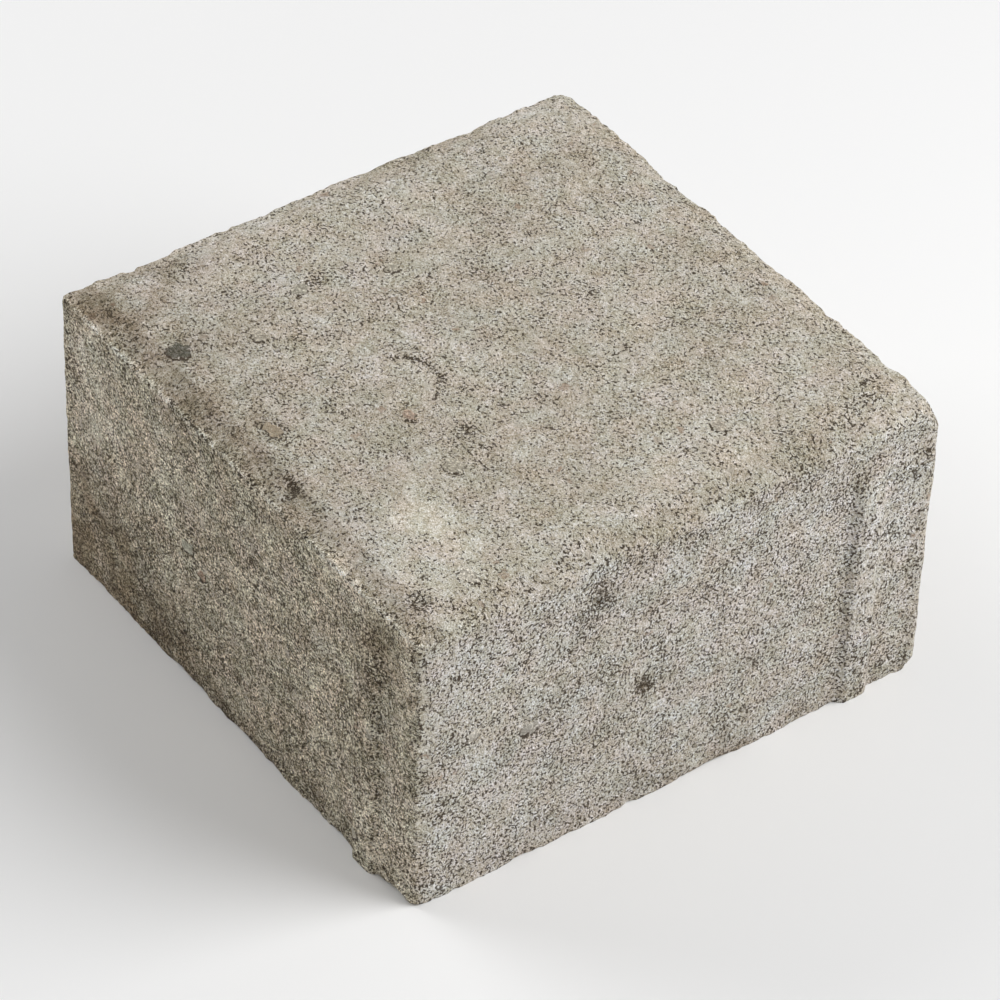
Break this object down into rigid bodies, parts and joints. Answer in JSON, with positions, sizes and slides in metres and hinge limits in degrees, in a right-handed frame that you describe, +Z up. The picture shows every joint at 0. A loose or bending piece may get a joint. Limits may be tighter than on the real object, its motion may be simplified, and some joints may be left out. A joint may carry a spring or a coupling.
{
  "type": "concrete paving stone",
  "caption": "Square concrete paving stone with a shallow bevel around the wearing face and a low upright spacer rib on each side.",
  "frame": {"origin": "middle of the bedding face, on the ground", "axes": "+Z up to the wearing face; +X and +Y square to the sides; each side's rib is nearer its right-hand end, seen from outside"},
  "size_m": [0.1432, 0.1432, 0.08],
  "materials": {
    "concrete": "open-textured grey concrete, weathered and stained, with chipped edges"
  },
  "bodies": {
    "root": {"paving_stone": "concrete"}
  },
  "joints": []
}
